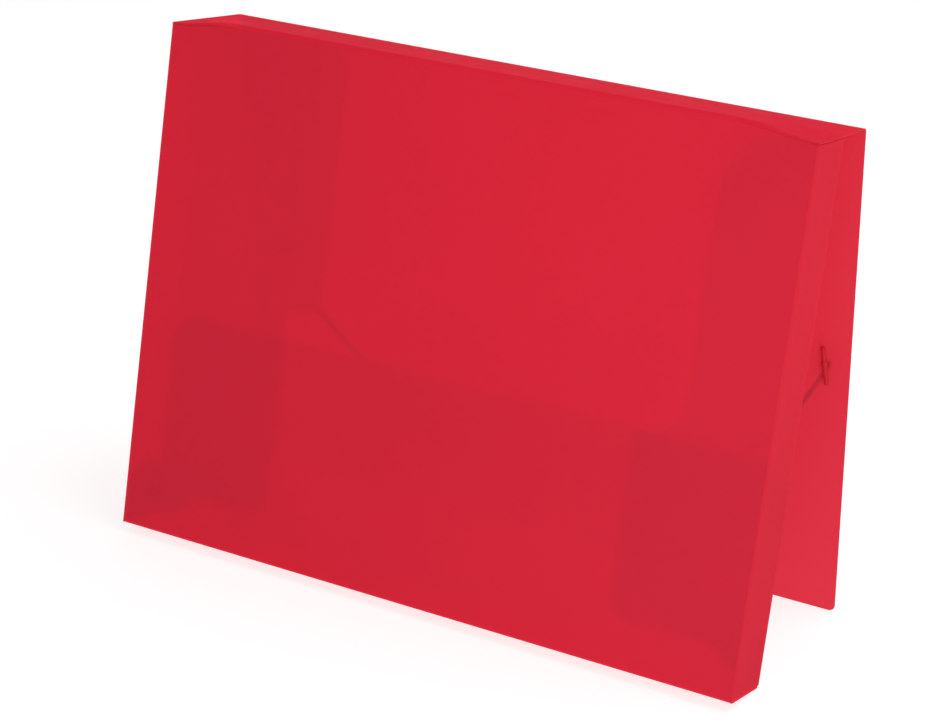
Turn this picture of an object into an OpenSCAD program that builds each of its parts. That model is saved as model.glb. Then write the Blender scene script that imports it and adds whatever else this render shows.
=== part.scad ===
// Filing box for A4 papers, folded from one die-cut polypropylene sheet.
// It stands half open on its long edge, spine on top, like a tent:
// the shallow tray leans back in front and the cover hangs behind it.
// Millimetres, +Z up, X along the spine, the tray's big panel faces -Y.
// The origin is on the floor, in the middle of the footprint.

/* [Sheet] */
// Thickness of the plastic sheet
sheet_t = 0.8; // [0.6:0.1:1.2]
// Radius of the bead that each folding crease turns on
crease_r = 0.6; // [0.5:0.05:0.7]
// Gap between a crease bead and the panel that turns on it
crease_gap = 0.05; // [0.03:0.01:0.1]

/* [Tray] */
// Width of the box along the spine
box_w = 330; // [300:1:360]
// Height of the big front panel, from the bottom edge to the spine crease
panel_h = 251.5; // [230:0.5:270]
// Depth of the tray's side and bottom walls
tray_d = 30; // [24:1:36]
// How far the tray's top corners drop below the spine crease
shoulder_drop = 5; // [3:0.5:6]
// Length of the sloped shoulder at each top corner
shoulder_len = 36; // [24:1:48]

/* [Pocket] */
// Height of the bottom flap that makes the paper pocket
pocket_h = 102; // [80:1:120]
// Width of the right flap
right_flap_w = 53; // [40:1:64]
// Width of the left flap
left_flap_w = 82; // [66:1:90]
// Width of the welded foot of each side flap
foot_w = 77; // [70:1:88]
// Radius of the left flap's free top corner
flap_r = 13; // [6:1:18]
// How far the flaps' top edges stay below the walls
flap_relief = 2; // [1:0.5:4]
// Radius of the curve where the right flap runs into its foot
fillet_r = 20; // [12:1:22]
// Height of the corner tabs inside the side walls
tab_h = 27; // [18:1:40]

/* [Lid] */
// Width of the spine between its two creases
spine_w = 56; // [50:1:64]
// Width of the cover, a little less than the tray's
lid_w = 328; // [298:1:360]
// Length of the cover from its crease to its free edge
cover_len = 243.5; // [220:0.5:250]
// Radius of the cover's free corners
cover_r = 3; // [1:0.5:8]
// Slope of the spine, against a line square to the front panel
spine_tilt = -1.3; // [-3:0.1:6]
// Splay of the cover, against the front panel
cover_splay = 15.1; // [10:0.1:22]

/* [Elastic closure] */
// Diameter of the elastic cord
cord_d = 2.2; // [1.8:0.1:2.6]
// Diameter of the two punched cord holes
cord_hole_d = 3.2; // [3:0.1:4]
// Length of the cross bar on each cord end
bar_len = 19; // [15:0.5:24]
// Diameter of the cross bar
bar_d = 2.2; // [1.8:0.1:2.6]
// Diameter of the crimp in the middle of the bar
crimp_d = 3; // [2.6:0.1:3.4]

/* [Hidden] */

t = sheet_t;
hw = box_w / 2;
hl = lid_w / 2;
wall_top = panel_h - shoulder_drop;
flap_top = wall_top - flap_relief;
groove_r = crease_r + crease_gap;
eps = 0.01;

// Cross-section points are [y, z] in the tray's own frame, where the outside
// of the front panel is y = 0 and the outside of the bottom wall is z = 0.
crease_a = [t / 2, panel_h];
crease_b = [t / 2 + spine_w * cos(spine_tilt), panel_h + spine_w * sin(spine_tilt)];
cover_foot = [crease_b[0] + cover_len * sin(cover_splay),
              crease_b[1] - cover_len * cos(cover_splay)];
foot_in = [cover_foot[0] - t / 2 * cos(cover_splay), cover_foot[1] - t / 2 * sin(cover_splay)];
foot_out = [cover_foot[0] + t / 2 * cos(cover_splay), cover_foot[1] + t / 2 * sin(cover_splay)];

// The box stands on the tray's rear bottom edge and the cover's free edge.
lean = atan2(foot_in[1], foot_in[0] - tray_d);
stand_z = tray_d * sin(lean);
stand_y = -(foot_out[0] * cos(lean) + foot_out[1] * sin(lean)) / 2;

// Cord holes on the cover: [across the box, down the cover from its crease]
hole_left = [-150, 124];
hole_right = [152.4, 116];
// Turn of each cross bar from upright, in the plane of the cover
bar_turn_left = 69;
bar_turn_right = -9;
bar_off = t / 2 + crimp_d / 2 + 0.05;

// Route of the elastic cord: [across, out of the cover, down the cover].
// It leaves each bar through its hole and hangs slack on the cover's outside.
cord_route = [
    [-150, -2, 124], [-150, 1, 124], [-149.6, 4, 124.6], [-148.2, 6.4, 127],
    [-145, 6.6, 132], [-140, 4.6, 138], [-133, 2.4, 145], [-124, 1.8, 153],
    [-110, 1.7, 165], [-92, 1.7, 179], [-72, 1.7, 192.5], [-50, 1.7, 204],
    [-26, 1.7, 212], [0, 1.7, 215], [26, 1.7, 213.4], [51, 1.7, 208],
    [73, 1.7, 199.4], [94, 1.7, 187.4], [112, 1.7, 173.6], [126, 1.7, 159.8],
    [135.6, 1.8, 147.2], [142, 2.4, 137], [146.3, 4.6, 128.9], [149.4, 6.5, 122.8],
    [151.1, 6.2, 118.9], [152.1, 4.1, 116.7], [152.4, 1, 116], [152.4, -2, 116]];
cord_steps = 3;
cord_sides = 8;

sheet_col = [0.83, 0.16, 0.24];
edge_col = [0.86, 0.19, 0.27];
cord_col = [0.60, 0.08, 0.12];
bar_col = [0.52, 0.07, 0.10];

// ---------- frames ----------
module tray_frame() { translate([0, stand_y, stand_z]) rotate([-lean, 0, 0]) children(); }
module spine_frame() {
    tray_frame() translate([0, crease_a[0], crease_a[1]]) rotate([spine_tilt, 0, 0]) children();
}
// In the cover's frame +Y points out of the cover and -Z runs down it.
module cover_frame() {
    tray_frame() translate([0, crease_b[0], crease_b[1]]) rotate([cover_splay, 0, 0]) children();
}

// An outline in the XZ plane, as a sheet whose front face is at y0
module upright_sheet(y0, thick = t) {
    translate([0, y0 + thick, 0]) rotate([90, 0, 0]) linear_extrude(thick) children();
}
// A rod along X on the line [y, z]
module crease_rod(p, r, len) {
    translate([0, p[0], p[1]]) rotate([0, 90, 0]) cylinder(r = r, h = len, center = true, $fn = 48);
}

// ---------- outlines ----------
function arc(c, r, a0, a1, n = 10) =
    [for (i = [0:n]) let (a = a0 + (a1 - a0) * i / n) [c[0] + r * cos(a), c[1] + r * sin(a)]];
// The sloped shoulder at one top corner, from the wall up to the crease
function shoulder(side) =
    [for (i = [0:12]) [side * (hw - shoulder_len * i / 12),
                       panel_h - shoulder_drop * (0.5 + 0.5 * cos(15 * i))]];
// A soft curve from a to c, drawn towards b
function curve(a, b, c, n = 8) =
    [for (i = [0:n]) let (u = i / n) (1 - u) * (1 - u) * a + 2 * u * (1 - u) * b + u * u * c];
function reversed(p) = [for (i = [len(p) - 1:-1:0]) p[i]];

module base_outline() {
    polygon(concat([[-hw, 0], [hw, 0]], shoulder(1), reversed(shoulder(-1))));
}
// Right flap: upright arm with a bevelled top, curve, and the wide foot welded behind the pocket
module right_flap_outline() {
    xi = hw - right_flap_w;
    xf = hw - foot_w;
    polygon(concat(
        [[hw, t], [hw, flap_top]],
        curve([xi + 28, flap_top], [xi + 11.5, flap_top - 1.5], [xi + 7.5, flap_top - 8.7]),
        curve([xi + 6.6, flap_top - 9.8], [xi + 0.4, flap_top - 17.5], [xi, flap_top - 30.5]),
        arc([xi - fillet_r, pocket_h + fillet_r], fillet_r, 0, -90),
        [[xf, pocket_h], [xf, 18], [xf + 6, 14], [hw - 24, 14], [hw - 10, t]]));
}
// Left flap: a broad free arm, stepped back to its welded foot
module left_flap_outline() {
    xi = -hw + left_flap_w;
    xf = -hw + foot_w - 14;
    polygon(concat(
        [[-hw, wall_top], [-hw, t], [-hw + 10, t], [-hw + 24, 14], [xf - 6, 14], [xf, 18], [xf, 112]],
        arc([xf + 6, 112], 6, 180, 90, 6),
        arc([xi - 9, 127], 9, -90, 0),
        arc([xi - flap_r, wall_top - flap_r], flap_r, 0, 90)));
}
module pocket_outline() {
    polygon([[-hw, 0], [hw, 0], [hw, pocket_h - 8], [hw - 8, pocket_h],
             [-hw + 8, pocket_h], [-hw, pocket_h - 8]]);
}
module cover_outline() {
    polygon(concat(
        [[-hl, 0], [-hl, -cover_len + cover_r]],
        arc([-hl + cover_r, -cover_len + cover_r], cover_r, 180, 270, 6),
        arc([hl - cover_r, -cover_len + cover_r], cover_r, 270, 360, 6),
        [[hl, 0]]));
}
// A corner tab: square at the bottom wall, round at its free end
module tab_outline() {
    y0 = t + 0.4;
    y1 = tray_d - 2 * t - 0.4;
    r = 8;
    polygon(concat([[y0, t], [y1, t]],
        arc([y1 - r, t + tab_h - r], r, 0, 90, 8),
        arc([y0 + r, t + tab_h - r], r, 90, 180, 8)));
}

// ---------- tray ----------
module base_panel() {
    color(sheet_col) tray_frame() union() {
        upright_sheet(0) base_outline();
        crease_rod(crease_a, crease_r, box_w - 2 * shoulder_len);
    }
}
module side_wall(x0) {
    tray_frame() translate([x0, t, t]) cube([t, tray_d - 3 * t, wall_top - t]);
}
module left_wall() { color(edge_col) side_wall(-hw); }
module right_wall() { color(edge_col) side_wall(hw - t); }
module bottom_wall() {
    color(edge_col) tray_frame() translate([-hw, t, 0]) cube([box_w, tray_d - 2 * t, t]);
}
module left_flap() { color(sheet_col) tray_frame() upright_sheet(tray_d - 2 * t) left_flap_outline(); }
module right_flap() { color(sheet_col) tray_frame() upright_sheet(tray_d - 2 * t) right_flap_outline(); }
module pocket_flap() { color(sheet_col) tray_frame() upright_sheet(tray_d - t) pocket_outline(); }
module corner_tab(x0) {
    tray_frame() translate([x0, 0, 0]) rotate([90, 0, 90]) linear_extrude(t) tab_outline();
}
module left_corner_tab() { color(edge_col) corner_tab(-hw + t); }
module right_corner_tab() { color(edge_col) corner_tab(hw - 2 * t); }

// ---------- lid ----------
module spine() {
    color(edge_col) spine_frame() difference() {
        union() {
            translate([0, 0, -t / 2]) linear_extrude(t)
                polygon([[-hw, 0], [hw, 0], [hl, spine_w], [-hl, spine_w]]);
            crease_rod([spine_w, 0], crease_r, lid_w);
        }
        crease_rod([0, 0], groove_r, box_w + 2);
    }
}
module cover() {
    color(sheet_col) cover_frame() difference() {
        upright_sheet(-t / 2) cover_outline();
        crease_rod([0, 0], groove_r, box_w + 2);
        for (h = [hole_left, hole_right])
            translate([h[0], 0, -h[1]]) rotate([90, 0, 0])
                cylinder(d = cord_hole_d, h = 4 * t, center = true, $fn = 32);
    }
}

// ---------- elastic closure ----------
// A cross bar with round ends and a crimp, lying on the cover's inside
module cord_end(h, turn) {
    color(bar_col) cover_frame() translate([h[0], -bar_off, -h[1]]) rotate([0, turn, 0]) union() {
        cylinder(d = bar_d, h = bar_len - bar_d, center = true, $fn = 24);
        for (s = [-1, 1]) translate([0, 0, s * (bar_len - bar_d) / 2]) sphere(d = bar_d, $fn = 24);
        cylinder(d = crimp_d, h = 4.5, center = true, $fn = 24);
    }
}
module left_cord_end() { cord_end(hole_left, bar_turn_left); }
module right_cord_end() { cord_end(hole_right, bar_turn_right); }

// Smooth curve through the route, as points in the cover's frame
function rp(i) = let (p = cord_route[min(max(i, 0), len(cord_route) - 1)]) [p[0], p[1], -p[2]];
function spline(a, b, c, d, u) =
    0.5 * ((2 * b) + (c - a) * u + (2 * a - 5 * b + 4 * c - d) * u * u + (3 * b - a - 3 * c + d) * u * u * u);
cord_pts = concat(
    [for (i = [0:len(cord_route) - 2]) for (k = [0:cord_steps - 1])
        spline(rp(i - 1), rp(i), rp(i + 1), rp(i + 2), k / cord_steps)],
    [rp(len(cord_route) - 1)]);
cord_n = len(cord_pts);
function unit(v) = v / norm(v);
cord_tan = [for (i = [0:cord_n - 1])
    unit(cord_pts[min(i + 1, cord_n - 1)] - cord_pts[max(i - 1, 0)])];
function square_to(v, d) = unit(v - (v * d) * d);
// Each ring's side direction is carried along from the ring before
cord_side = [for (i = 0, s = square_to([1, 0, 0], cord_tan[0]);
                  i < cord_n;
                  i = i + 1, s = square_to(s, cord_tan[min(i, cord_n - 1)])) s];
module elastic_cord() {
    rings = [for (i = [0:cord_n - 1]) let (u = cord_side[i], v = cross(cord_tan[i], cord_side[i]))
        for (k = [0:cord_sides - 1]) let (a = 360 * k / cord_sides)
            cord_pts[i] + cord_d / 2 * (cos(a) * u + sin(a) * v)];
    skin = [for (i = [0:cord_n - 2]) for (k = [0:cord_sides - 1])
        let (k2 = (k + 1) % cord_sides)
            [i * cord_sides + k, (i + 1) * cord_sides + k, (i + 1) * cord_sides + k2, i * cord_sides + k2]];
    cap0 = [[for (k = [0:cord_sides - 1]) k]];
    cap1 = [[for (k = [cord_sides - 1:-1:0]) (cord_n - 1) * cord_sides + k]];
    color(cord_col) cover_frame() polyhedron(points = rings, faces = concat(skin, cap0, cap1), convexity = 10);
}

base_panel();
left_wall();
right_wall();
bottom_wall();
left_flap();
right_flap();
pocket_flap();
left_corner_tab();
right_corner_tab();
spine();
cover();
elastic_cord();
left_cord_end();
right_cord_end();
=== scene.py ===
import math

import bmesh
import bpy
import numpy as np
from mathutils import Matrix, Vector
from mathutils.geometry import delaunay_2d_cdt


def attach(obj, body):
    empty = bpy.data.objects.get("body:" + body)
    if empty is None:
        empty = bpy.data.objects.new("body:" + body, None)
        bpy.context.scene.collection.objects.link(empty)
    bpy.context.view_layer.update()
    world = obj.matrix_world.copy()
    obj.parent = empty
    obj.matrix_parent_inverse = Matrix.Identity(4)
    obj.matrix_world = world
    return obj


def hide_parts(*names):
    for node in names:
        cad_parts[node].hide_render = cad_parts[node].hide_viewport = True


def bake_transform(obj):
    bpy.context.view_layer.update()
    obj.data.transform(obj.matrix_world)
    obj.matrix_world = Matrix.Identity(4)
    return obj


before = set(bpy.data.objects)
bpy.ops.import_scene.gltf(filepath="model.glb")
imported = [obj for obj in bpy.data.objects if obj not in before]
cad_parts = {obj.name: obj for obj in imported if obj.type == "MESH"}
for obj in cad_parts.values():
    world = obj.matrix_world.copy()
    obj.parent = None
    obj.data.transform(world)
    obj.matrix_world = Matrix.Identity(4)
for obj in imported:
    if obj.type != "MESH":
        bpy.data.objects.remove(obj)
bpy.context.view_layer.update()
scene = bpy.context.scene

# ------------------------------------------------------------------ measures
# The same driving sizes as the construction, in millimetres.
T = 0.8
HW = 165.0
HL = 164.0
PANEL_H = 251.5
TRAY_D = 30.0
DROP = 5.0
WALL_TOP = PANEL_H - DROP
FLAP_TOP = WALL_TOP - 2.0
SHOULDER = 36.0
POCKET_H = 102.0
SPINE_W = 56.0
COVER_LEN = 243.5
TILT = math.radians(-1.3)
SPLAY = math.radians(15.1)
BEND = 1.0                    # outer radius of the walls' folds
MID = BEND - T / 2            # the same fold at the middle of the sheet
LEG = 1.5                     # length of a folding crease on each side
CUT = 0.13                    # rounding of the cut edges
SLIT = 0.3                    # share of it at the slits beside the front crease

A = (T / 2, PANEL_H)
B = (T / 2 + SPINE_W * math.cos(TILT), PANEL_H + SPINE_W * math.sin(TILT))
_foot = (B[0] + COVER_LEN * math.sin(SPLAY), B[1] - COVER_LEN * math.cos(SPLAY))
_fin = (_foot[0] - T / 2 * math.cos(SPLAY), _foot[1] - T / 2 * math.sin(SPLAY))
_fout = (_foot[0] + T / 2 * math.cos(SPLAY), _foot[1] + T / 2 * math.sin(SPLAY))
LEAN = math.atan2(_fin[1], _fin[0] - TRAY_D)
CL, SL = math.cos(LEAN), math.sin(LEAN)
Z0 = TRAY_D * SL
Y0 = -(_fout[0] * CL + _fout[1] * SL) / 2


def tray(p):
    """Tray frame (millimetres) to the row frame (metres)."""
    p = np.asarray(p, float)
    x, y, z = p[..., 0], p[..., 1], p[..., 2]
    return np.stack([x, y * CL + z * SL + Y0, -y * SL + z * CL + Z0], -1) * 0.001


def on_spine(p):
    """Spine frame [across, along the spine from its front crease, up]."""
    p = np.asarray(p, float)
    x, u, v = p[..., 0], p[..., 1], p[..., 2]
    c, s = math.cos(TILT), math.sin(TILT)
    return tray(np.stack([x, A[0] + u * c - v * s, A[1] + u * s + v * c], -1))


def on_cover(p):
    """Cover frame [across, out of the cover, up from its crease]."""
    p = np.asarray(p, float)
    x, n, z = p[..., 0], p[..., 1], p[..., 2]
    c, s = math.cos(SPLAY), math.sin(SPLAY)
    return tray(np.stack([x, B[0] + n * c - z * s, B[1] + n * s + z * c], -1))


# ------------------------------------------------------------------ camera
cam_data = bpy.data.cameras.new("camera")
cam_data.lens = 96.26
cam_data.sensor_width = 36.0
cam_data.clip_start = 0.05
cam_data.clip_end = 50.0
cam = bpy.data.objects.new("camera", cam_data)
scene.collection.objects.link(cam)
_f = Vector((-0.45065787, 0.81818178, -0.35705191))
_u = Vector((-0.21302348, 0.28985161, 0.93306325))
_r = Vector((0.86690742, 0.49655274, 0.04366802))
cam.matrix_world = Matrix((
    (_r.x, _u.x, -_f.x, 0.534678),
    (_r.y, _u.y, -_f.y, -0.977705),
    (_r.z, _u.z, -_f.z, 0.534014),
    (0, 0, 0, 1)))
scene.camera = cam


# ------------------------------------------------------------------ mesh tools
def make_object(name, verts, faces, mats, face_mats, sharp=32):
    me = bpy.data.meshes.new(name)
    me.from_pydata([tuple(v) for v in verts], [], [tuple(int(i) for i in f) for f in faces])
    for m in mats:
        me.materials.append(m)
    me.polygons.foreach_set("material_index", np.array(face_mats, np.int32))
    bm = bmesh.new()
    bm.from_mesh(me)
    bmesh.ops.recalc_face_normals(bm, faces=bm.faces[:])
    bm.to_mesh(me)
    bm.free()
    me.polygons.foreach_set("use_smooth", np.ones(len(me.polygons), bool))
    me.set_sharp_from_angle(angle=math.radians(sharp))
    me.validate()
    ob = bpy.data.objects.new(name, me)
    scene.collection.objects.link(ob)
    return ob


class Build:
    """Collects closed sheet solids; face groups: 0 outside, 1 inside, 2 cut edge, 3 where the sheet runs on."""

    def __init__(self):
        self.v, self.f, self.m = [], [], []

    def add_verts(self, pts):
        start = len(self.v)
        self.v.extend(np.asarray(pts, float).reshape(-1, 3).tolist())
        return start

    def face(self, idx, m):
        self.f.append(tuple(idx))
        self.m.append(m)

    def rim(self, top, bot, up, low, cut):
        n = len(top)
        for i in range(n):
            j = (i + 1) % n
            g = 2 if cut[i] else 3
            if up[i] is not None and up[j] is not None:
                self.face((top[i], up[i], up[j], top[j]), g)
                self.face((up[i], low[i], low[j], up[j]), g)
                self.face((low[i], bot[i], bot[j], low[j]), g)
            elif up[i] is None and up[j] is None:
                self.face((top[i], bot[i], bot[j], top[j]), g)
            elif up[i] is not None:
                self.face((top[i], up[i], low[i], bot[i], bot[j], top[j]), g)
            else:
                self.face((top[i], bot[i], bot[j], low[j], up[j], top[j]), g)

    def grid(self, mid, nrm, thick, cuts, place, inner_thin=None):
        """A sheet along a grid of mid-plane points. cuts: bevel of the cut edges at (u0, u1, v0, v1), 0 for none."""
        mid = np.asarray(mid, float)
        nu, nv = mid.shape[:2]
        nrm = nrm / np.linalg.norm(nrm, axis=-1, keepdims=True)
        th = np.broadcast_to(np.asarray(thick, float), (nu, nv))[..., None]
        off = np.zeros_like(mid)

        def unit(a):
            return a / np.linalg.norm(a, axis=-1, keepdims=True)
        if cuts[0]:
            off[0] += unit(mid[0] - mid[1]) * cuts[0]
        if cuts[1]:
            off[-1] += unit(mid[-1] - mid[-2]) * cuts[1]
        if cuts[2]:
            off[:, 0] += unit(mid[:, 0] - mid[:, 1]) * cuts[2]
        if cuts[3]:
            off[:, -1] += unit(mid[:, -1] - mid[:, -2]) * cuts[3]
        low_shift = 0.0 if inner_thin is None else np.broadcast_to(inner_thin, (nu, nv))[..., None]
        top = mid - off * CUT + nrm * th / 2
        bot = mid - off * CUT - nrm * (th / 2 - low_shift)
        it = self.add_verts(place(top))
        ib = self.add_verts(place(bot))
        for i in range(nu - 1):
            for j in range(nv - 1):
                a, b, c, d = i * nv + j, (i + 1) * nv + j, (i + 1) * nv + j + 1, i * nv + j + 1
                self.face((it + a, it + b, it + c, it + d), 0)
                self.face((ib + d, ib + c, ib + b, ib + a), 1)
        loop = ([(i, 0) for i in range(nu)] + [(nu - 1, j) for j in range(1, nv)]
                + [(i, nv - 1) for i in range(nu - 2, -1, -1)] + [(0, j) for j in range(nv - 2, 0, -1)])
        edge_cut = ([cuts[2]] * (nu - 1) + [cuts[1]] * (nv - 1) + [cuts[3]] * (nu - 1) + [cuts[0]] * (nv - 1))
        t_idx, b_idx, up, low = [], [], [], []
        for i, j in loop:
            t_idx.append(it + i * nv + j)
            b_idx.append(ib + i * nv + j)
            if np.any(off[i, j] != 0):
                h = th[i, j, 0] / 2 - CUT
                up.append(self.add_verts(place(mid[i, j] + nrm[i, j] * h)))
                low.append(self.add_verts(place(mid[i, j] - nrm[i, j] * h)))
            else:
                up.append(None)
                low.append(None)
        self.rim(t_idx, b_idx, up, low, edge_cut)

    def panel(self, loops, cuts, place, thick=T, extra=None, dent=None):
        """A flat sheet with an outline and holes. Each loop keeps the sheet on its left."""
        pts2, edges, spans, lifted, edge_cut = [], [], [], [], []
        for pts, cut in zip(loops, cuts):
            pts = np.asarray(pts, float)
            n = len(pts)
            cut = np.broadcast_to(np.asarray(cut, float), (n,))
            d = np.roll(pts, -1, 0) - pts
            d /= np.linalg.norm(d, axis=1, keepdims=True)
            nn = np.stack([-d[:, 1], d[:, 0]], 1)
            start = len(pts2)
            for i in range(n):
                n0, n1 = nn[i - 1], nn[i]
                d0, d1 = CUT * cut[i - 1], CUT * cut[i]
                det = n0[0] * n1[1] - n0[1] * n1[0]
                if abs(det) < 0.08:
                    o = (n0 + n1) / np.linalg.norm(n0 + n1) * min(d0, d1)
                else:
                    o = np.array([d0 * n1[1] - d1 * n0[1], n0[0] * d1 - n1[0] * d0]) / det
                pts2.append(pts[i] + o)
                lifted.append(pts[i] if (cut[i - 1] > 0 or cut[i] > 0) else None)
            spans.append((start, n))
            edge_cut += list(cut)
            edges += [(start + i, start + (i + 1) % n) for i in range(n)]
        extra = [] if extra is None else [np.asarray(p, float) for p in extra]
        allp = pts2 + extra
        out = delaunay_2d_cdt([Vector(p) for p in allp], edges, [], 0, 1e-7)
        vs = np.array([tuple(v) for v in out[0]])
        back = {}
        for k, src in enumerate(out[3]):
            for s in src:
                back[s] = k
        tri = [f for f in out[2]]
        cen = np.array([vs[list(f)].mean(0) for f in tri])
        keep = np.zeros(len(tri), bool)
        for s, n in spans:
            poly = np.array(pts2[s:s + n])
            q = np.roll(poly, -1, 0)
            for (x0, y0), (x1, y1) in zip(poly, q):
                if y0 == y1:
                    continue
                hit = ((y0 > cen[:, 1]) != (y1 > cen[:, 1])) & (
                    cen[:, 0] < (x1 - x0) * (cen[:, 1] - y0) / (y1 - y0) + x0)
                keep ^= hit
        hi = np.full(len(vs), thick / 2)
        if dent is not None:
            hi = hi - dent(vs)
        it = self.add_verts(place(vs[:, 0], vs[:, 1], hi))
        ib = self.add_verts(place(vs[:, 0], vs[:, 1], np.full(len(vs), -thick / 2)))
        for f, k in zip(tri, keep):
            if not k:
                continue
            p = vs[list(f)]
            area = np.sum(p[:, 0] * np.roll(p[:, 1], -1) - np.roll(p[:, 0], -1) * p[:, 1])
            f = list(f) if area > 0 else list(f)[::-1]
            self.face([it + i for i in f], 0)
            self.face([ib + i for i in f[::-1]], 1)
        h = thick / 2 - CUT
        for s, n in spans:
            t_idx = [it + back[s + i] for i in range(n)]
            b_idx = [ib + back[s + i] for i in range(n)]
            up, low = [], []
            for i in range(n):
                p = lifted[s + i]
                if p is None:
                    up.append(None)
                    low.append(None)
                else:
                    one = np.array([p[0]]), np.array([p[1]])
                    up.append(self.add_verts(place(one[0], one[1], np.array([h]))))
                    low.append(self.add_verts(place(one[0], one[1], np.array([-h]))))
            self.rim(t_idx, b_idx, up, low, edge_cut[s:s + n])

    def done(self, name, mats):
        return make_object(name, self.v, self.f, mats, self.m)


def grid_normals(mid):
    du = np.gradient(mid, axis=0)
    dv = np.gradient(mid, axis=1)
    n = np.cross(du, dv)
    return n / np.linalg.norm(n, axis=-1, keepdims=True)


def arc(cx, cy, r, a0, a1, n):
    a = np.radians(np.linspace(a0, a1, n + 1))
    return np.stack([cx + r * np.cos(a), cy + r * np.sin(a)], 1)


def curve(a, b, c, n):
    u = np.linspace(0, 1, n + 1)[:, None]
    return (1 - u) ** 2 * np.array(a) + 2 * u * (1 - u) * np.array(b) + u ** 2 * np.array(c)


# ------------------------------------------------------------------ materials
def new_material(name):
    m = bpy.data.materials.new(name)
    m.use_nodes = True
    m.node_tree.nodes.clear()
    return m, m.node_tree.nodes, m.node_tree.links


def ramp(nodes, stops):
    r = nodes.new("ShaderNodeValToRGB")
    el = r.color_ramp.elements
    while len(el) < len(stops):
        el.new(0.5)
    for e, (pos, col) in zip(el, stops):
        e.position = pos
        e.color = (*col, 1)
    return r


def sheet_material(name, lo, hi, clear, glow, spec, rough, grain, tint):
    """Dyed translucent polypropylene: a satin face, light scattered through it, and some straight see-through. In
    the spine, wall, inside, cut-edge and pocket-inside copies, the lo and hi base tones carry painted light and
    shade.
    """
    m, n, l = new_material(name)
    out = n.new("ShaderNodeOutputMaterial")
    tc = n.new("ShaderNodeTexCoord")
    # slow clouds in the dye
    cloud = n.new("ShaderNodeTexNoise")
    cloud.inputs["Scale"].default_value = 14.0
    cloud.inputs["Detail"].default_value = 3.0
    cloud.inputs["Roughness"].default_value = 0.55
    l.new(tc.outputs["Object"], cloud.inputs["Vector"])
    col = ramp(n, [(0.30, lo), (0.70, hi)])
    l.new(cloud.outputs["Fac"], col.inputs["Fac"])
    # rubbed patches in the satin
    rub = n.new("ShaderNodeTexNoise")
    rub.inputs["Scale"].default_value = 55.0
    rub.inputs["Detail"].default_value = 5.0
    rub.inputs["Roughness"].default_value = 0.6
    l.new(tc.outputs["Object"], rub.inputs["Vector"])
    rr = n.new("ShaderNodeMapRange")
    rr.inputs["From Min"].default_value = 0.3
    rr.inputs["From Max"].default_value = 0.7
    rr.inputs["To Min"].default_value = rough - 0.05
    rr.inputs["To Max"].default_value = rough + 0.07
    l.new(rub.outputs["Fac"], rr.inputs["Value"])
    # fine sand grain rolled into the face
    sand = n.new("ShaderNodeTexNoise")
    sand.inputs["Scale"].default_value = 1900.0
    sand.inputs["Detail"].default_value = 2.0
    l.new(tc.outputs["Object"], sand.inputs["Vector"])
    bump = n.new("ShaderNodeBump")
    bump.inputs["Strength"].default_value = grain
    bump.inputs["Distance"].default_value = 0.00006
    l.new(sand.outputs["Fac"], bump.inputs["Height"])
    face = n.new("ShaderNodeBsdfPrincipled")
    face.inputs["Specular IOR Level"].default_value = spec
    l.new(col.outputs["Color"], face.inputs["Base Color"])
    l.new(rr.outputs["Result"], face.inputs["Roughness"])
    l.new(bump.outputs["Normal"], face.inputs["Normal"])
    through = n.new("ShaderNodeBsdfTranslucent")
    l.new(col.outputs["Color"], through.inputs["Color"])
    see = n.new("ShaderNodeBsdfTransparent")
    see.inputs["Color"].default_value = (*tint, 1)
    mix1 = n.new("ShaderNodeMixShader")
    mix1.inputs["Fac"].default_value = glow
    l.new(face.outputs[0], mix1.inputs[1])
    l.new(through.outputs[0], mix1.inputs[2])
    mix2 = n.new("ShaderNodeMixShader")
    mix2.inputs["Fac"].default_value = clear
    l.new(mix1.outputs[0], mix2.inputs[1])
    l.new(see.outputs[0], mix2.inputs[2])
    l.new(mix2.outputs[0], out.inputs["Surface"])
    return m


TINT = (0.99, 0.10, 0.16)
MAT_OUT = sheet_material("sheet_outside", (0.82, 0.052, 0.103), (0.84, 0.054, 0.107),
                         0.48, 0.15, 0.010, 0.50, 0.35, TINT)
# painted shade and painted sheen: the inside faces are a darker red to hold down the lit cover strip, with a paler
# haze standing for grazing reflection
MAT_IN_SHADED = sheet_material("sheet_inside_painted_shade_sheen", (0.68, 0.086, 0.146), (0.70, 0.090, 0.152),
                        0.48, 0.15, 0.02, 0.55, 0.22, TINT)
# painted shade: the cut edges are a darker red so that edges lit from the right don't show as bright lines
MAT_CUT_SHADED = sheet_material("sheet_cut_edge_painted_shade", (0.66, 0.036, 0.070), (0.70, 0.040, 0.078),
                         0.30, 0.25, 0.03, 0.42, 0.15, TINT)
MAT_ON = sheet_material("sheet_runs_on", (0.82, 0.044, 0.090), (0.84, 0.046, 0.094),
                        0.97, 0.15, 0.0, 0.50, 0.10, (0.99, 0.97, 0.97))
MAT_FRONT = sheet_material("sheet_front", (0.845, 0.066, 0.132), (0.865, 0.068, 0.137),
                           0.64, 0.15, 0.010, 0.50, 0.35, TINT)
SHEET = [MAT_OUT, MAT_IN_SHADED, MAT_CUT_SHADED, MAT_ON]
# painted light: the spine copy is a lighter red than the outside sheet, standing in for the upward face catching
# more of the top light
MAT_SPINE_LIT = sheet_material("sheet_spine_painted_light", (0.86, 0.034, 0.078), (0.88, 0.036, 0.082),
                         0.38, 0.20, 0.010, 0.50, 0.35, TINT)
# painted shade: the wall copy is a darker, less hazy red that holds back the extra key light falling on the right
# side
MAT_WALL_SHADED = sheet_material("sheet_walls_painted_shade", (0.78, 0.044, 0.084), (0.80, 0.046, 0.088),
                          0.48, 0.15, 0.010, 0.50, 0.35, TINT)
MAT_SOFT = sheet_material("sheet_pocket", (0.81, 0.052, 0.103), (0.83, 0.054, 0.107),
                          0.28, 0.35, 0.010, 0.50, 0.35, TINT)
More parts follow.
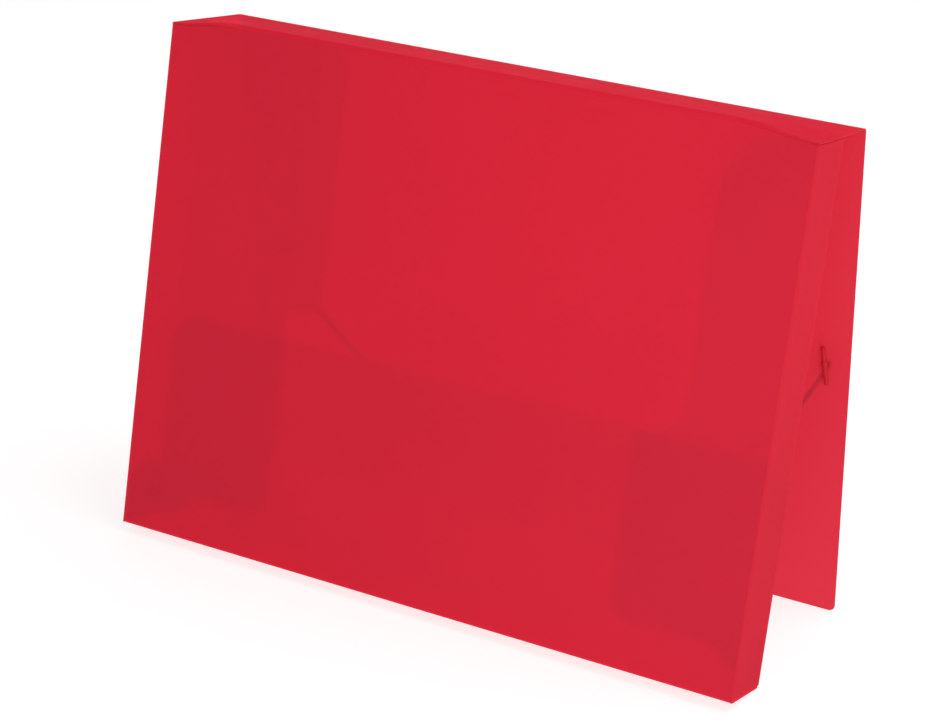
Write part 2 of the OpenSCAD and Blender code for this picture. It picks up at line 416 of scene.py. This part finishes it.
# painted light: the pocket copy's inside faces are a lighter red than the other inside faces, brightening the left
# flap and pocket seen through the front panel
MAT_POCKET_IN_LIT = sheet_material("sheet_pocket_inside_painted_light", (0.81, 0.088, 0.150), (0.83, 0.092, 0.156),
                             0.28, 0.35, 0.02, 0.55, 0.22, TINT)
FRONT = [MAT_FRONT, MAT_FRONT, MAT_CUT_SHADED, MAT_ON]
TOP = [MAT_SPINE_LIT, MAT_IN_SHADED, MAT_CUT_SHADED, MAT_ON]
WALL = [MAT_WALL_SHADED, MAT_IN_SHADED, MAT_CUT_SHADED, MAT_ON]
SOFT = [MAT_SOFT, MAT_POCKET_IN_LIT, MAT_CUT_SHADED, MAT_ON]


def cord_material():
    """Braided elastic: ribbed yarn over a rubber core."""
    m, n, l = new_material("elastic_braid")
    out = n.new("ShaderNodeOutputMaterial")
    uv = n.new("ShaderNodeUVMap")
    uv.uv_map = "braid"
    wave = n.new("ShaderNodeTexWave")
    wave.wave_type = "BANDS"
    wave.bands_direction = "DIAGONAL"
    wave.inputs["Scale"].default_value = 3.0
    wave.inputs["Distortion"].default_value = 1.2
    wave.inputs["Detail"].default_value = 2.0
    l.new(uv.outputs["UV"], wave.inputs["Vector"])
    col = ramp(n, [(0.0, (0.19, 0.006, 0.012)), (0.6, (0.33, 0.012, 0.022)), (1.0, (0.42, 0.020, 0.034))])
    l.new(wave.outputs["Fac"], col.inputs["Fac"])
    tc = n.new("ShaderNodeTexCoord")
    fuzz = n.new("ShaderNodeTexNoise")
    fuzz.inputs["Scale"].default_value = 5200.0
    fuzz.inputs["Detail"].default_value = 2.0
    l.new(tc.outputs["Object"], fuzz.inputs["Vector"])
    bump = n.new("ShaderNodeBump")
    bump.inputs["Strength"].default_value = 0.5
    bump.inputs["Distance"].default_value = 0.00005
    l.new(fuzz.outputs["Fac"], bump.inputs["Height"])
    p = n.new("ShaderNodeBsdfPrincipled")
    p.inputs["Roughness"].default_value = 0.82
    p.inputs["Specular IOR Level"].default_value = 0.25
    p.inputs["Sheen Weight"].default_value = 0.25
    p.inputs["Sheen Roughness"].default_value = 0.5
    p.inputs["Sheen Tint"].default_value = (0.9, 0.25, 0.3, 1)
    l.new(col.outputs["Color"], p.inputs["Base Color"])
    l.new(bump.outputs["Normal"], p.inputs["Normal"])
    l.new(p.outputs[0], out.inputs["Surface"])
    return m


def bar_material():
    """Moulded plastic of the cross bars."""
    m, n, l = new_material("cross_bar_plastic")
    out = n.new("ShaderNodeOutputMaterial")
    tc = n.new("ShaderNodeTexCoord")
    noise = n.new("ShaderNodeTexNoise")
    noise.inputs["Scale"].default_value = 420.0
    noise.inputs["Detail"].default_value = 4.0
    l.new(tc.outputs["Object"], noise.inputs["Vector"])
    col = ramp(n, [(0.3, (0.50, 0.013, 0.024)), (0.7, (0.58, 0.017, 0.030))])
    l.new(noise.outputs["Fac"], col.inputs["Fac"])
    rr = n.new("ShaderNodeMapRange")
    rr.inputs["To Min"].default_value = 0.46
    rr.inputs["To Max"].default_value = 0.62
    l.new(noise.outputs["Fac"], rr.inputs["Value"])
    bump = n.new("ShaderNodeBump")
    bump.inputs["Strength"].default_value = 0.25
    bump.inputs["Distance"].default_value = 0.00008
    l.new(noise.outputs["Fac"], bump.inputs["Height"])
    p = n.new("ShaderNodeBsdfPrincipled")
    p.inputs["Specular IOR Level"].default_value = 0.12
    l.new(col.outputs["Color"], p.inputs["Base Color"])
    l.new(rr.outputs["Result"], p.inputs["Roughness"])
    l.new(bump.outputs["Normal"], p.inputs["Normal"])
    l.new(p.outputs[0], out.inputs["Surface"])
    return m


MAT_CORD = cord_material()
MAT_BAR = bar_material()


def finish_piece(ob, body, slot, *nodes):
    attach(ob, body)
    if nodes:
        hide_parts(*nodes)
    return ob


# ------------------------------------------------------------------ elastic closure
ROUTE = [
    (-150, -2, 124), (-150, 1, 124), (-149.6, 4, 124.6), (-148.2, 6.4, 127),
    (-145, 6.6, 132), (-140, 4.6, 138), (-133, 2.4, 145), (-124, 1.8, 153),
    (-110, 1.7, 165), (-92, 1.7, 179), (-72, 1.7, 192.5), (-50, 1.7, 204),
    (-26, 1.7, 212), (0, 1.7, 215), (26, 1.7, 213.4), (51, 1.7, 208),
    (73, 1.7, 199.4), (94, 1.7, 187.4), (112, 1.7, 173.6), (126, 1.7, 159.8),
    (135.6, 1.8, 147.2), (142, 2.4, 137), (146.3, 4.6, 128.9), (149.4, 6.5, 122.8),
    (151.1, 6.2, 118.9), (152.1, 4.1, 116.7), (152.4, 1, 116), (152.4, -2, 116)]
CORD_D = 2.2


def smooth_route(route, steps):
    p = np.array([(a, b, -c) for a, b, c in route], float)
    n = len(p)
    pts = []
    for i in range(n - 1):
        a, b, c, d = p[max(i - 1, 0)], p[i], p[i + 1], p[min(i + 2, n - 1)]
        for k in range(steps):
            u = k / steps
            pts.append(0.5 * (2 * b + (c - a) * u + (2 * a - 5 * b + 4 * c - d) * u * u
                              + (3 * b - a - 3 * c + d) * u ** 3))
    pts.append(p[-1])
    return np.array(pts)


def resample(pts, step):
    d = np.r_[0, np.cumsum(np.linalg.norm(np.diff(pts, axis=0), axis=1))]
    k = max(2, int(round(d[-1] / step)) + 1)
    s = np.linspace(0, d[-1], k)
    return np.stack([np.interp(s, d, pts[:, i]) for i in range(3)], 1), s


def braided_cord(name, line):
    line, s = resample(line, 0.42)
    n, sides, strands, pitch = len(line), 24, 6, 7.5
    tan = np.gradient(line, axis=0)
    tan /= np.linalg.norm(tan, axis=1, keepdims=True)
    side = np.zeros_like(line)
    v = np.array([1.0, 0, 0])
    for i in range(n):
        v = v - (v @ tan[i]) * tan[i]
        v /= np.linalg.norm(v)
        side[i] = v
    other = np.cross(tan, side)
    ang = np.arange(sides) * 2 * math.pi / sides
    # two families of strands that dive under each other in turn
    ph = s[:, None] * 2 * math.pi / pitch * 2.0
    right = strands / 2 * ang[None, :] + ph
    left = strands / 2 * ang[None, :] - ph
    weave = 0.5 + 0.5 * np.cos(right + left)
    bulge = weave * np.abs(np.cos(right / 2 + 0.3)) ** 0.7 + (1 - weave) * np.abs(np.cos(left / 2 + 0.3)) ** 0.7
    r = CORD_D / 2 - 0.07 + 0.11 * bulge
    ring = (line[:, None, :] + r[..., None] * (np.cos(ang)[None, :, None] * side[:, None, :]
                                              + np.sin(ang)[None, :, None] * other[:, None, :]))
    verts = on_cover(ring.reshape(-1, 3))
    faces, uvs = [], []
    for i in range(n - 1):
        for k in range(sides):
            k2 = (k + 1) % sides
            faces.append((i * sides + k, (i + 1) * sides + k, (i + 1) * sides + k2, i * sides + k2))
            a0, a1 = k / sides, (k + 1) / sides
            b0, b1 = s[i] / 6.9, s[i + 1] / 6.9
            uvs += [(a0, b0), (a0, b1), (a1, b1), (a1, b0)]
    faces.append(tuple(range(sides)))
    faces.append(tuple(range((n - 1) * sides, n * sides))[::-1])
    uvs += [(0, 0)] * (2 * sides)
    me = bpy.data.meshes.new(name)
    me.from_pydata([tuple(x) for x in verts], [], faces)
    lay = me.uv_layers.new(name="braid")
    lay.data.foreach_set("uv", np.array(uvs, np.float32).ravel())
    me.materials.append(MAT_CORD)
    bm = bmesh.new()
    bm.from_mesh(me)
    bmesh.ops.recalc_face_normals(bm, faces=bm.faces[:])
    bm.to_mesh(me)
    bm.free()
    me.polygons.foreach_set("use_smooth", np.ones(len(me.polygons), bool))
    me.set_sharp_from_angle(angle=math.radians(60))
    ob = bpy.data.objects.new(name, me)
    scene.collection.objects.link(ob)
    return ob


def cross_bar(name, hole, turn):
    """A moulded bar with round tips, a waisted shaft, a ringed crimp and a fine parting line."""
    prof = []
    half, r = 9.5, 1.1
    for a in np.radians(np.linspace(90, 8, 9)):
        prof.append((half - r + r * math.sin(a), r * math.cos(a)))
    prof += [(half - r - 0.4, 1.09), (6.6, 1.02), (5.0, 0.98), (3.4, 1.02), (2.75, 1.10)]
    prof += [(2.42, 1.22), (2.25, 1.38), (2.08, 1.46), (1.60, 1.47), (1.44, 1.40), (1.28, 1.34),
             (1.10, 1.34), (0.96, 1.40), (0.82, 1.47), (0.30, 1.48)]
    full = prof + [(-z, q) for z, q in prof[::-1]]
    sides = 28
    ang = np.arange(sides) * 2 * math.pi / sides
    t = math.radians(turn)
    ax = np.array([math.sin(t), 0.0, math.cos(t)])
    e1 = np.array([math.cos(t), 0.0, -math.sin(t)])
    e2 = np.array([0.0, 1.0, 0.0])
    c = np.array([hole[0], -(T / 2 + 1.5 + 0.05), -hole[1]])
    seam = 0.035 * np.exp(-(np.minimum(np.abs(np.sin(ang)), 1) / 0.16) ** 2)
    verts = []
    for z, q in full:
        rr = q + seam * (q > 0.5)
        verts.append(c + ax * z + rr[:, None] * (np.cos(ang)[:, None] * e1 + np.sin(ang)[:, None] * e2))
    verts = np.concatenate(verts)
    n = len(full)
    faces = []
    for i in range(n - 1):
        for k in range(sides):
            k2 = (k + 1) % sides
            faces.append((i * sides + k, (i + 1) * sides + k, (i + 1) * sides + k2, i * sides + k2))
    faces.append(tuple(range(sides)))
    faces.append(tuple(range((n - 1) * sides, n * sides))[::-1])
    return make_object(name, on_cover(verts), faces, [MAT_BAR], [0] * len(faces), sharp=50)


HOLE_L, HOLE_R = (-150.0, 124.0), (152.4, 116.0)
bar_left = finish_piece(cross_bar("cross_bar_left", HOLE_L, 69.0), "cover", "cord_end", "left_cord_end")
bar_right = finish_piece(cross_bar("cross_bar_right", HOLE_R, -9.0), "cover", "cord_end", "right_cord_end")
cord_line = smooth_route(ROUTE, 12)
cord_ob = finish_piece(braided_cord("elastic_cord_braid", cord_line), "cover", "cord", "elastic_cord")


# ------------------------------------------------------------------ tray
X_FLAT = HW - BEND            # where the side folds begin
X_TAB = HW - T - 0.05 - T / 2 - MID    # where the bottom wall turns up into its tabs
TOP_FLAT = PANEL_H - LEG      # where the spine crease begins
HALF_CREASE = HW - SHOULDER


def s_curve(x):
    """0 along the crease, 1 at the box's ends."""
    q = np.clip((np.abs(np.asarray(x, float)) - HALF_CREASE) / SHOULDER, 0, 1)
    return 0.5 - 0.5 * np.cos(math.pi * q)


LIP_LOW = 3.30                # fall of the panel's shoulder
LIP_HIGH = 4.3                # fall of the spine's corner


def y_plane(y_mid, sign):
    """Outline [x, z] on an upright plane of the tray; sign gives the outer side."""
    return lambda a, b, h: tray(np.stack([a, np.full_like(a, y_mid) + sign * h, b], -1))


# big front panel, with its sloped shoulders
xs = np.linspace(X_FLAT, HALF_CREASE, 30)
shoulder_r = np.stack([xs, TOP_FLAT - 0.03 - LIP_LOW * s_curve(xs)], 1)
shoulder_r[-1, 1] = TOP_FLAT
shoulder_l = shoulder_r[::-1] * [-1, 1]
outline = np.concatenate([[(-X_FLAT, BEND), (X_FLAT, BEND)], shoulder_r, shoulder_l])
cut = np.zeros(len(outline))
cut[2:31] = SLIT
cut[32:61] = SLIT
b = Build()
b.panel([outline], [cut], y_plane(T / 2, -1))
base = finish_piece(b.done("base_panel_sheet", FRONT), "tray", "sheet", "base_panel")


# side walls, each with the folds into the front panel and the flap
def wall_section(side):
    p = np.concatenate([
        arc(X_FLAT, BEND, MID, -90, 0, 8),
        [(X_FLAT + MID, y) for y in np.linspace(BEND + 2, TRAY_D - T - BEND - 2, 6)],
        arc(X_FLAT, TRAY_D - T - BEND, MID, 0, 90, 8)])
    q = np.concatenate([
        arc(0, 0, 1, -90, 0, 8), [(1, 0)] * 6, arc(0, 0, 1, 0, 90, 8)])
    p[:, 0] *= side
    q[:, 0] *= side
    return p, q


def side_wall(name, side, node, mats):
    p, q = wall_section(side)
    zs = np.r_[0.05, 1.0, 4.0, np.linspace(16, 232, 10), 241.0, 245.0, WALL_TOP]
    mid = np.stack([np.repeat(p[None, :, 0], len(zs), 0), np.repeat(p[None, :, 1], len(zs), 0),
                    np.repeat(zs[:, None], len(p), 1)], -1)
    mid[-1, :, 2] += 0.035 * p[:, 1]
    nrm = np.stack([np.repeat(q[None, :, 0], len(zs), 0), np.repeat(q[None, :, 1], len(zs), 0),
                    np.zeros((len(zs), len(p)))], -1)
    w = Build()
    w.grid(mid, nrm, T, (True, True, False, False), tray)
    return finish_piece(w.done(name, mats), "tray", "sheet", node)


side_wall("left_wall_sheet", -1, "left_wall", SOFT)
side_wall("right_wall_sheet", 1, "right_wall", WALL)

# bottom wall, with the folds into the front panel and the pocket
sec = np.concatenate([
    arc(BEND, BEND, MID, 180, 270, 8),
    [(y, T / 2) for y in np.linspace(BEND + 2, TRAY_D - BEND - 2, 6)],
    arc(TRAY_D - BEND, BEND, MID, 270, 360, 8)])
secn = np.concatenate([arc(0, 0, 1, 180, 270, 8), [(0, -1)] * 6, arc(0, 0, 1, 270, 360, 8)])
xs = np.linspace(-X_TAB, X_TAB, 23)
mid = np.stack([np.repeat(xs[:, None], len(sec), 1), np.repeat(sec[None, :, 0], len(xs), 0),
                np.repeat(sec[None, :, 1], len(xs), 0)], -1)
nrm = np.stack([np.zeros((len(xs), len(sec))), np.repeat(secn[None, :, 0], len(xs), 0),
                np.repeat(secn[None, :, 1], len(xs), 0)], -1)
b = Build()
b.grid(mid, nrm, T, (True, True, False, False), tray)
for side in (-1, 1):
    for part in (slice(0, 9), slice(len(sec) - 9, len(sec))):
        ex = np.sort(np.array([X_TAB, X_TAB + 0.4, X_FLAT - 0.02]) * side)
        b.grid(np.stack([np.repeat(ex[:, None], 9, 1), np.repeat(sec[None, part, 0], 3, 0),
                         np.repeat(sec[None, part, 1], 3, 0)], -1),
               np.stack([np.zeros((3, 9)), np.repeat(secn[None, part, 0], 3, 0),
                         np.repeat(secn[None, part, 1], 3, 0)], -1), T, (side < 0, side > 0, False, False), tray)
finish_piece(b.done("bottom_wall_sheet", SHEET), "tray", "sheet", "bottom_wall")


# corner tabs, turned up from the bottom wall inside each side wall
def corner_tab(name, side, node):
    r, y0, y1, top = 8.0, 1.9, 27.4, T + 27.0
    rows = [(X_TAB + MID * math.sin(a), BEND - MID * math.cos(a), y0, y1, math.sin(a), -math.cos(a))
            for a in np.radians(np.linspace(0, 90, 9))]
    for z in np.linspace(BEND + 2.5, top - r, 5):
        rows.append((X_TAB + MID, z, y0, y1, 1.0, 0.0))
    for a in np.radians(np.linspace(10, 90, 9)):
        k = r * (1 - math.cos(a))
        rows.append((X_TAB + MID, top - r + r * math.sin(a), y0 + k, y1 - k, 1.0, 0.0))
    mid, nrm = [], []
    for x, z, a, c, nx, nz in rows:
        ys = np.linspace(a, c, 9)
        mid.append(np.stack([np.full(9, side * x), ys, np.full(9, z)], 1))
        nrm.append(np.tile([side * nx, 0, nz], (9, 1)))
    w = Build()
    w.grid(np.array(mid), np.array(nrm), T, (False, True, True, True), tray)
    return finish_piece(w.done(name, SHEET), "tray", "sheet", node)


corner_tab("left_corner_tab_sheet", -1, "left_corner_tab")
corner_tab("right_corner_tab_sheet", 1, "right_corner_tab")

# side flaps, folded in behind the papers
FOOT_Z = 1.7
rf = np.concatenate([
    [(X_FLAT, FOOT_Z), (X_FLAT, FLAP_TOP)],
    curve((140, FLAP_TOP), (123.5, FLAP_TOP - 1.5), (119.5, FLAP_TOP - 8.7), 14),
    curve((118.6, FLAP_TOP - 9.8), (112.4, FLAP_TOP - 17.5), (112, FLAP_TOP - 30.5), 14),
    arc(92, 122, 20, 0, -90, 20),
    [(88.5, 101.6), (88, 101.0), (88, 18), (94, 14), (141, 14), (155.5, FOOT_Z)]])
cut = np.ones(len(rf), bool)
cut[0] = False
b = Build()
b.panel([rf], [cut], y_plane(TRAY_D - 1.5 * T, 1))
finish_piece(b.done("right_flap_sheet", SHEET), "tray", "sheet", "right_flap")

lf = np.concatenate([
    [(-X_FLAT, WALL_TOP), (-X_FLAT, FOOT_Z), (-155.5, FOOT_Z), (-141, 14), (-108, 14), (-102, 18)],
    arc(-96, 112, 6, 180, 90, 8),
    arc(-92, 127, 9, -90, 0, 12),
    arc(-96, WALL_TOP - 13, 13, 0, 90, 16)])
cut = np.ones(len(lf), bool)
cut[0] = False
b = Build()
b.panel([lf], [cut], y_plane(TRAY_D - 1.5 * T, 1))
finish_piece(b.done("left_flap_sheet", SOFT), "tray", "sheet", "left_flap")

# pocket flap, with small round weld dimples over the flaps' feet
WELDS = [(sx, z) for z in (32.0, 82.0) for sx in (-148.0, -116.0, 102.0, 146.0)]


def weld_dent(v):
    d = np.zeros(len(v))
    for cx, cz in WELDS:
        r = np.hypot(v[:, 0] - cx, v[:, 1] - cz)
        d += 0.16 * np.clip((3.0 - r) / 0.7, 0, 1) - 0.05 * np.exp(-((r - 3.4) / 0.35) ** 2)
    return d


rings = [(cx + r * math.cos(a), cz + r * math.sin(a)) for cx, cz in WELDS
         for r in (1.2, 2.3, 3.0, 3.4, 3.9, 4.6) for a in np.linspace(0, 2 * math.pi, 28, endpoint=False)]
pk = [(-164.9, BEND), (164.9, BEND), (164.9, 94), (157, POCKET_H), (-157, POCKET_H), (-164.9, 94)]
b = Build()
b.panel([pk], [[False, True, True, True, True, True]], y_plane(TRAY_D - T / 2, 1), extra=rings, dent=weld_dent)
finish_piece(b.done("pocket_flap_sheet", SOFT), "tray", "sheet", "pocket_flap")

# ------------------------------------------------------------------ spine and its folding creases
turn_a = math.pi / 2 - TILT
rho_a = LEG / math.tan(turn_a / 2)
ca = (A[0] + rho_a, TOP_FLAT)
ang_a = np.linspace(math.pi / 2 + TILT, math.pi, 13)
arc_a = np.stack([ca[0] + rho_a * np.cos(ang_a), ca[1] + rho_a * np.sin(ang_a)], 1)
edge_z = arc_a[0, 1]


def crease_grid(xs, sec, secn, place):
    mid = np.stack([np.repeat(xs[:, None], len(sec), 1), np.repeat(sec[None, :, 0], len(xs), 0),
                    np.repeat(sec[None, :, 1], len(xs), 0)], -1)
    nrm = np.stack([np.zeros(mid.shape[:2]), np.repeat(secn[None, :, 0], len(xs), 0),
                    np.repeat(secn[None, :, 1], len(xs), 0)], -1)
    thin = 0.32 * np.sin(np.linspace(0, math.pi, len(sec))) ** 2
    w = Build()
    w.grid(mid, nrm, T, (False, False, False, False), place, inner_thin=np.broadcast_to(thin, mid.shape[:2]))
    return w


# front crease: thinned on the inside, bends between the tray and the spine
xs = np.linspace(-HALF_CREASE, HALF_CREASE, 27)
front = crease_grid(xs, arc_a, np.stack([np.cos(ang_a), np.sin(ang_a)], 1), tray).done("front_crease_sheet", TOP)
p0, p1 = np.array(arc_a[-1]), np.array(arc_a[0])
d = (p1 - p0) / np.linalg.norm(p1 - p0)
p0, p1 = p0 + d * 0.30, p1 - d * 0.30
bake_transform(front)

# rear crease: bends between the spine and the cover
turn_b = math.pi / 2 + TILT - SPLAY
rho_b = LEG / math.tan(turn_b / 2)
start_b = (B[0] - LEG * math.cos(TILT), B[1] - LEG * math.sin(TILT))
a_hi = math.pi / 2 + TILT
cb = (start_b[0] - rho_b * math.cos(a_hi), start_b[1] - rho_b * math.sin(a_hi))
ang_b = np.linspace(a_hi, SPLAY, 11)
arc_b = np.stack([cb[0] + rho_b * np.cos(ang_b), cb[1] + rho_b * np.sin(ang_b)], 1)
xs = np.linspace(-HL, HL, 34)
rear = crease_grid(xs, arc_b, np.stack([np.cos(ang_b), np.sin(ang_b)], 1), tray).done("rear_crease_sheet", TOP)
p0, p1 = np.array(arc_b[0]), np.array(arc_b[-1])
d = (p1 - p0) / np.linalg.norm(p1 - p0)
p0, p1 = p0 + d * 0.26, p1 - d * 0.26
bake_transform(rear)

# spine: flat between its creases, its front corners drawn down to the shoulders
us = np.r_[LEG, 3, 5, 8, 12, 17, 23, 30, 37, 44, 50, SPINE_W - LEG]
xs = np.r_[-HW, np.linspace(-HW + 1.5, -HALF_CREASE, 24), np.linspace(-110, 110, 12),
           np.linspace(HALF_CREASE, HW - 1.5, 24), HW]
X, U = np.meshgrid(xs, us, indexing="ij")
far = (U - LEG) / (SPINE_W - 2 * LEG)
V = -LIP_HIGH * s_curve(X) * (1 - far)
X = X * (1 - far * (HW - HL) / HW)
mid = np.stack([X, U, V], -1)
b = Build()
b.grid(mid, grid_normals(mid), T, (True, True, False, False), on_spine)
for side in (-1, 1):
    lx = np.r_[np.linspace(HALF_CREASE, HW - 1.5, 24), HW] * side
    if side < 0:
        lx = lx[::-1]
    s = s_curve(lx)
    zs_, zb_ = edge_z - LIP_HIGH * s, TOP_FLAT - LIP_LOW * s
    k = (arc_a[:, 1] - TOP_FLAT) / (edge_z - TOP_FLAT)
    mid = np.stack([np.repeat(lx[:, None], len(arc_a), 1),
                    np.repeat(arc_a[None, :, 0], len(lx), 0),
                    zb_[:, None] + (zs_ - zb_)[:, None] * k[None, :]], -1)
    nrm = grid_normals(mid)
    if nrm[len(lx) // 2, 0, 2] < 0:
        nrm = -nrm
    b.grid(mid, nrm, T, (side < 0, side > 0, False, SLIT), tray)
finish_piece(b.done("spine_sheet", TOP), "spine", "sheet", "spine")

# ------------------------------------------------------------------ cover
co = np.concatenate([
    [(-HL, -LEG)],
    arc(-HL + 3, -COVER_LEN + 3, 3, 180, 270, 8),
    arc(HL - 3, -COVER_LEN + 3, 3, 270, 360, 8),
    [(HL, -LEG)]])
cut = np.ones(len(co), bool)
cut[-1] = False
holes = [arc(h[0], -h[1], 1.3, 360, 0, 28)[:-1] for h in (HOLE_L, HOLE_R)]
b = Build()
b.panel([co, *holes], [cut, True, True],
        lambda a, z, h: on_cover(np.stack([a, h, z], -1)))
finish_piece(b.done("cover_sheet", SHEET), "cover", "sheet", "cover")

# ------------------------------------------------------------------ floor and light
m, n, l = new_material("pale_floor")
out = n.new("ShaderNodeOutputMaterial")
p = n.new("ShaderNodeBsdfPrincipled")
p.inputs["Base Color"].default_value = (0.32, 0.32, 0.32, 1)
p.inputs["Emission Color"].default_value = (1, 1, 1, 1)
p.inputs["Emission Strength"].default_value = 0.77
p.inputs["Roughness"].default_value = 0.95
p.inputs["Specular IOR Level"].default_value = 0.0
l.new(p.outputs[0], out.inputs["Surface"])
me = bpy.data.meshes.new("floor")
me.from_pydata([(-8, -8, -0.0002), (8, -8, -0.0002), (8, 8, -0.0002), (-8, 8, -0.0002)], [], [(0, 1, 2, 3)])
me.materials.append(m)
floor = bpy.data.objects.new("floor", me)
scene.collection.objects.link(floor)

world = bpy.data.worlds.new("studio")
scene.world = world
world.use_nodes = True
bg = world.node_tree.nodes["Background"]
bg.inputs["Color"].default_value = (1, 1, 1, 1)
bg.inputs["Strength"].default_value = 0.575


def softbox(name, at, to, size, power):
    d = bpy.data.lights.new(name, "AREA")
    d.shape = "RECTANGLE"
    d.size, d.size_y = size
    d.energy = power
    o = bpy.data.objects.new(name, d)
    o.location = at
    o.rotation_euler = (Vector(to) - Vector(at)).to_track_quat("-Z", "Y").to_euler()
    scene.collection.objects.link(o)
    return o


softbox("key_right", (0.52, -0.42, 0.14), (0.12, 0, 0.11), (0.35, 0.35), 1.22)
softbox("top", (0.72, 0.25, 1.6), (0, 0, 0.13), (1.5, 1.5), 13.2)

scene.view_settings.view_transform = "Standard"
scene.view_settings.look = "None"
